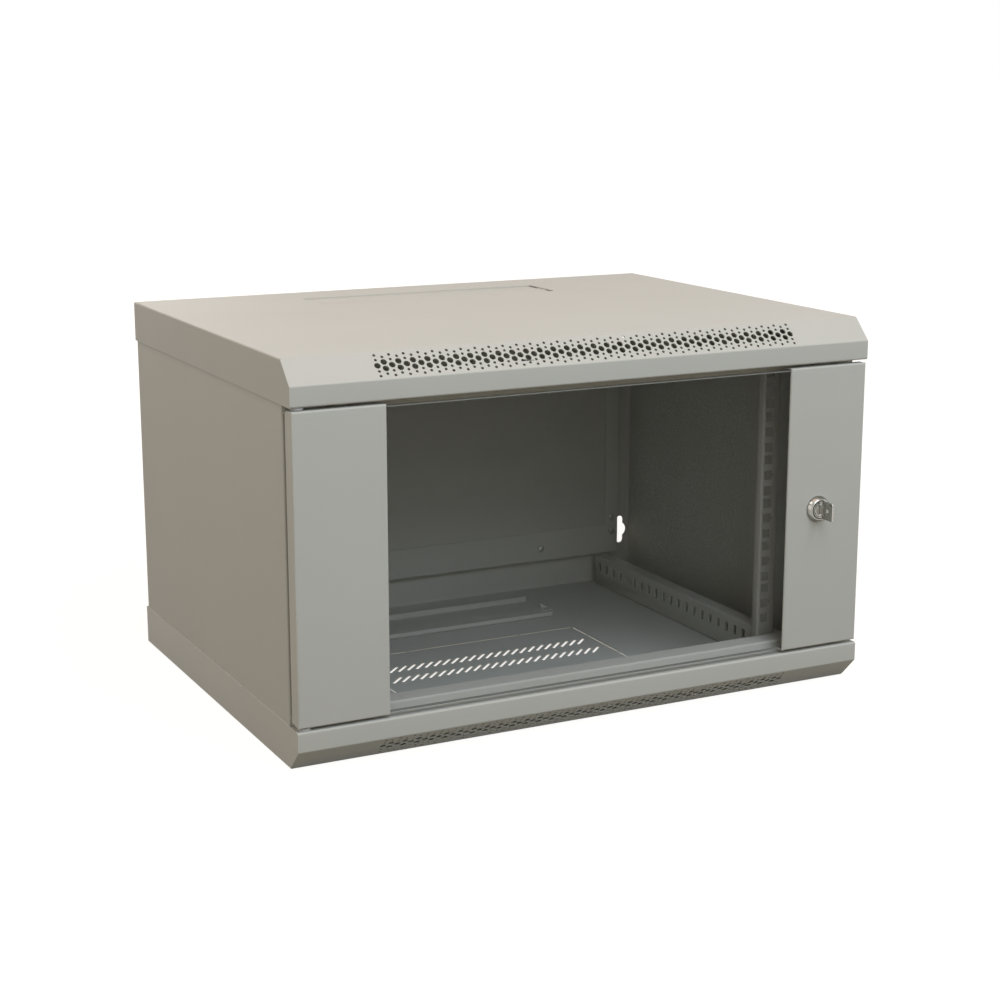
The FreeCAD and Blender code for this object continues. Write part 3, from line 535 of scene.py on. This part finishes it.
# ---------------------------------------------------------------- hinges and bumpers
HINGE_X, HINGE_DEPTH = -291.0, 8.0
PIN_RADIUS = 2.5
LOWER_PIN = (34.8, 47.6)                    # z of its two ends
LOWER_COLLAR = (4.5, 46.2, 47.5)            # radius, z of its two faces
UPPER_PIN = (288.8, 333.2)
UPPER_COLLAR = (4.5, 320.3, 321.8)
COLLAR_EDGE = 0.3
LEVER_RADIUS, LEVER_HEIGHT, LEVER_SPAN = 2.0, 290.8, (-1.5, 24.0)
BUSH = ((2.6, 38.8), (3.7, 38.8), (4.0, 39.1), (4.0, 40.0), (5.7, 40.0), (6.0, 40.3), (6.0, 42.2),
        (5.6, 42.6), (3.0, 42.6), (2.6, 42.2))          # radius, z of the lower one
BRACKET_FOLD = 1.4
SPRING_TURNS, CLOSED_TURNS = 4, 2
SPRING_COIL, SPRING_WIRE = 3.6, 0.45        # radii
SPRING_FLAT = 0.8                           # turns before the coil rises
SPRING_RISE = 0.4                           # turns that the rise takes beyond the open ones
SPRING_STEPS, SPRING_SIDES = 28, 10         # steps a turn, sides of the wire


def hinge_point(z):
    """A point on the door's hinge axis."""
    return Vector((HINGE_X, FRONT + HINGE_DEPTH, z))


def rounded_pin(radius, low, high, collar=None):
    """A pin's profile with rounded ends and, where it has one, a collar."""
    edge = radius * 0.25
    rings = [(0, low), (radius - edge, low), (radius, low + edge)]
    if collar:
        wide, start, stop = collar
        rings += [(radius, start), (wide - COLLAR_EDGE, start), (wide, start + COLLAR_EDGE),
                  (wide, stop - COLLAR_EDGE), (wide - COLLAR_EDGE, stop), (radius, stop)]
    return rings + [(radius, high - edge), (radius - edge, high), (0, high)]


def add_hinges():
    """The two pins, the upper one with its lever, the bushes, the spring and the brackets."""
    axis = hinge_point(0)
    lower = turned(rounded_pin(PIN_RADIUS, *LOWER_PIN, LOWER_COLLAR), axis, Z_AXIS, 32)
    add_piece("lower_pin", lower, BODIES["hinge_pin_lower"], "zinc", "hinge_pin_lower")
    upper = turned(rounded_pin(PIN_RADIUS, *UPPER_PIN, UPPER_COLLAR), axis, Z_AXIS, 32)
    lever = turned(rounded_pin(LEVER_RADIUS, *LEVER_SPAN), hinge_point(LEVER_HEIGHT), X_AXIS, 24)
    add_piece("upper_pin_and_lever", joined([upper, lever]), BODIES["hinge_pin_upper"], "zinc",
              "hinge_pin_upper")
    mirrored = [(radius, HEIGHT - z) for radius, z in BUSH]
    for name, node, rings in (("lower_bush", "hinge_bush_lower", BUSH),
                              ("upper_bush", "hinge_bush_upper", mirrored)):
        add_piece(name, turned(rings, axis, Z_AXIS, 40), BODIES[node], "nylon", node)
    add_spring()
    soften_node("hinge_bracket_lower", BRACKET_FOLD)
    soften_node("hinge_bracket_upper", BRACKET_FOLD)


def add_spring():
    """A round wire coil with its end turns closed, on a mesh of its own."""
    low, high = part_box("hinge_spring")
    base, length = low.z / MM + SPRING_WIRE, (high.z - low.z) / MM - 2 * SPRING_WIRE
    turns = SPRING_TURNS + CLOSED_TURNS
    steps = SPRING_STEPS * turns
    skin = bmesh.new()
    loops = []
    for step in range(steps + 1):
        share = step / steps
        angle = math.tau * turns * share
        rise = min(max((share * turns - SPRING_FLAT) / (SPRING_TURNS + SPRING_RISE), 0.0), 1.0)
        radial = Vector((math.cos(angle), math.sin(angle), 0))
        middle = hinge_point(base + rise * length) + radial * SPRING_COIL
        loop = []
        for place in range(SPRING_SIDES):
            around = math.tau * place / SPRING_SIDES
            out = (radial * math.cos(around) + Z_AXIS * math.sin(around)) * SPRING_WIRE
            loop.append(skin.verts.new((middle + out) * MM))
        loops.append(loop)
    for first, second in zip(loops, loops[1:]):
        for place in range(SPRING_SIDES):
            after = (place + 1) % SPRING_SIDES
            skin.faces.new((first[place], second[place], second[after], first[after]))
    skin.faces.new(loops[0])
    skin.faces.new(loops[-1][::-1])
    bmesh.ops.recalc_face_normals(skin, faces=skin.faces)
    mesh = finished(skin, "spring")
    smooth_folds(mesh, 50)
    spring = add_piece("pin_spring", mesh, BODIES["hinge_spring"], "zinc", "hinge_spring")
    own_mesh(spring)


BUMPER_RIM = ((1.2, 0.0), (0.4, 0.4), (0.0, 1.2))       # inwards from the radius, depth


def add_bumpers():
    """Two rubber buttons with rounded rims that the door closes on."""
    low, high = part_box("door_bumpers")
    depth = (high.y - low.y) / MM
    radius = (high.x - low.x) / MM / 2
    rim = [(radius - inwards, along) for inwards, along in BUMPER_RIM]
    rings = [(0, 0), *rim, (radius, depth), (0, depth)]
    meshes = [turned(rings, Vector(((low.x + high.x) / 2 / MM, low.y / MM, z)), Y_AXIS, 32)
              for z in (low.z / MM + radius, high.z / MM - radius)]
    add_piece("rubber_bumpers", joined(meshes), BODIES["door_bumpers"], "rubber", "door_bumpers")


# ---------------------------------------------------------------- glass
PANE_BEVEL = 0.8


def add_pane():
    """The toughened pane, its ground edges lighter than its faces."""
    low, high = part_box("door_glass")
    skin = bmesh.new()
    bmesh.ops.create_cube(skin, size=1.0)
    skin.transform(Matrix.Translation((low + high) / 2) @ Matrix.Diagonal((*(high - low), 1)))
    bmesh.ops.bevel(skin, geom=list(skin.edges), offset=PANE_BEVEL * MM, segments=2, profile=0.7,
                    affect="EDGES", clamp_overlap=True)
    mesh = finished(skin, "pane")
    add_piece("toughened_pane", mesh, BODIES["door_glass"], "glass", "door_glass")
    mesh.materials.append(GROUND_GLASS)
    for face in mesh.polygons:
        if abs(face.normal.y) < 0.99:
            face.material_index = 1
    smooth_folds(mesh, 20)


# ---------------------------------------------------------------- stage
TARGET = Vector((11.83, 0.0, 170.81)) * MM
AZIMUTH = math.radians(-26.827)
ELEVATION = math.radians(13.005)
DISTANCE = 1995.9 * MM
LENS = 69.75
SENSOR_WIDTH = 36.0
CLIP_END = 50.0             # metres


def direction(azimuth, elevation):
    """From the target towards a camera or lamp."""
    flat = math.cos(elevation)
    return Vector((math.sin(azimuth) * flat, -math.cos(azimuth) * flat, math.sin(elevation)))


def aim(obj, target):
    """Turns a camera or lamp towards the target."""
    obj.rotation_euler = (target - obj.location).to_track_quat("-Z", "Y").to_euler()


def add_camera():
    """The portrait camera."""
    camera = bpy.data.objects.new("camera", bpy.data.cameras.new("camera"))
    bpy.context.scene.collection.objects.link(camera)
    camera.data.sensor_width = SENSOR_WIDTH
    camera.data.lens = LENS
    camera.data.clip_end = CLIP_END
    camera.location = TARGET + direction(AZIMUTH, ELEVATION) * DISTANCE
    aim(camera, TARGET)
    bpy.context.scene.camera = camera


def add_lamp(name, azimuth, elevation, distance, size, power, colour):
    """A square lamp that looks at the target."""
    data = bpy.data.lights.new(name, "AREA")
    data.shape = "SQUARE"
    data.size = size
    data.energy = power
    data.color = colour
    lamp = bpy.data.objects.new(name, data)
    bpy.context.scene.collection.objects.link(lamp)
    lamp.location = TARGET + direction(math.radians(azimuth), math.radians(elevation)) * distance
    aim(lamp, TARGET)


# name, azimuth, elevation, distance and size in metres, power, colour
LAMPS = (
    ("top_lamp", 0.0, 84.0, 2.6, 2.2, 17.0, (1.0, 0.66, 0.46)),
    ("high_lamp", 5.0, 45.0, 3.0, 2.0, 51.5, (0.82, 0.935, 1.03)),
    ("front_lamp", -10.0, 12.0, 3.2, 2.2, 6.0, (0.9, 0.96, 0.93)),
    ("left_lamp", -85.0, 12.0, 3.0, 1.8, 9.2, (1.0, 0.9, 0.82)),
    ("corner_lamp", -40.0, 15.0, 3.2, 2.0, 2.5, (0.9, 1.0, 0.9)),
    ("glint_lamp", -85.0, 50.0, 3.0, 0.9, 9.0, (1.0, 0.95, 0.9)),
    ("right_lamp", 85.0, 12.0, 3.0, 1.8, 18.0, (1.0, 0.95, 0.88)),
    ("rear_lamp", 180.0, 8.0, 3.5, 1.8, 22.0, (1.0, 0.95, 0.88)),
)
WORLD_COLOUR = (0.245, 0.212, 0.16)
FLOOR_COLOUR = (0.19, 0.165, 0.12)
FLOOR_SIZE = 60.0           # metres
FLOOR_GAP = 0.2             # millimetres under the cabinet
FLOOR_GLOW = {"From Min": 0.4, "From Max": 1.6, "To Min": 0.93, "To Max": 1.0}  # metres out, how white


def seen_directly(tree):
    """1 for rays that look at the background: from the camera, in gloss and through glass."""
    path = add_node(tree, "ShaderNodeLightPath")
    total = path.outputs["Is Camera Ray"]
    for name in ("Is Glossy Ray", "Is Transmission Ray"):
        highest = add_node(tree, "ShaderNodeMath", operation="MAXIMUM")
        tree.links.new(total, highest.inputs[0])
        tree.links.new(path.outputs[name], highest.inputs[1])
        total = highest.outputs["Value"]
    return total


def light_world():
    """A dim warm sky for matt surfaces, plain white for the rays that see it."""
    world = bpy.data.worlds.new("world")
    bpy.context.scene.world = world
    world.use_nodes = True
    tree = world.node_tree
    lighting = tree.nodes["Background"]
    lighting.inputs["Color"].default_value = (*WORLD_COLOUR, 1)
    white = add_node(tree, "ShaderNodeBackground", {"Color": (1, 1, 1, 1), "Strength": 1.0})
    mix = add_node(tree, "ShaderNodeMixShader")
    tree.links.new(seen_directly(tree), mix.inputs["Fac"])
    tree.links.new(lighting.outputs["Background"], mix.inputs[1])
    tree.links.new(white.outputs["Background"], mix.inputs[2])
    tree.links.new(mix.outputs["Shader"], tree.nodes["World Output"].inputs["Surface"])


def add_floor():
    """A pale floor that keeps the cabinet's shadow and runs out to white."""
    material = bpy.data.materials.new("pale_floor")
    material.use_nodes = True
    tree = material.node_tree
    tree.nodes.remove(tree.nodes["Principled BSDF"])
    matt = add_node(tree, "ShaderNodeBsdfDiffuse", {"Color": (*FLOOR_COLOUR, 1)})
    glow = add_node(tree, "ShaderNodeEmission", {"Color": (1, 1, 1, 1)})
    place = add_node(tree, "ShaderNodeTexCoord")
    away = add_node(tree, "ShaderNodeVectorMath", operation="LENGTH")
    tree.links.new(place.outputs["Object"], away.inputs[0])
    paler = add_node(tree, "ShaderNodeMapRange", FLOOR_GLOW)
    tree.links.new(away.outputs["Value"], paler.inputs["Value"])
    level = add_node(tree, "ShaderNodeMath", operation="MULTIPLY")
    tree.links.new(seen_directly(tree), level.inputs[0])
    tree.links.new(paler.outputs["Result"], level.inputs[1])
    tree.links.new(level.outputs["Value"], glow.inputs["Strength"])
    both = add_node(tree, "ShaderNodeAddShader")
    tree.links.new(matt.outputs["BSDF"], both.inputs[0])
    tree.links.new(glow.outputs["Emission"], both.inputs[1])
    tree.links.new(both.outputs["Shader"], tree.nodes["Material Output"].inputs["Surface"])
    bpy.ops.mesh.primitive_plane_add(size=FLOOR_SIZE, location=(0, 0, cad_box[0][2] - FLOOR_GAP * MM))
    floor = bpy.context.object
    floor.name = "floor"
    floor.data.materials.append(material)


FOLDED = ("cable_entry_tray_bottom", "cable_entry_tray_top", "front_sill_bottom", "front_sill_top",
          "left_side_panel", "right_side_panel", "rear_frame", "rear_panel",
          "depth_rail_bottom_left", "depth_rail_bottom_right", "depth_rail_top_left", "depth_rail_top_right",
          "rack_rail_left", "rack_rail_right", "door_lock_strip", "door_hinge_strip")

paint_cad_nodes()
dress_cover("bottom_cover", False)
dress_cover("top_cover", True)
for folded in FOLDED:
    soften_node(folded)
soften_node("rack_rail_screws", 0, 0.4)
soften_node("rack_rail_nuts", 0, 0.4)
add_lock()
add_hinges()
add_bumpers()
add_pane()
add_rear_screws()

add_camera()
for lamp in LAMPS:
    add_lamp(*lamp)
light_world()
add_floor()
bpy.context.scene.view_settings.view_transform = "Standard"
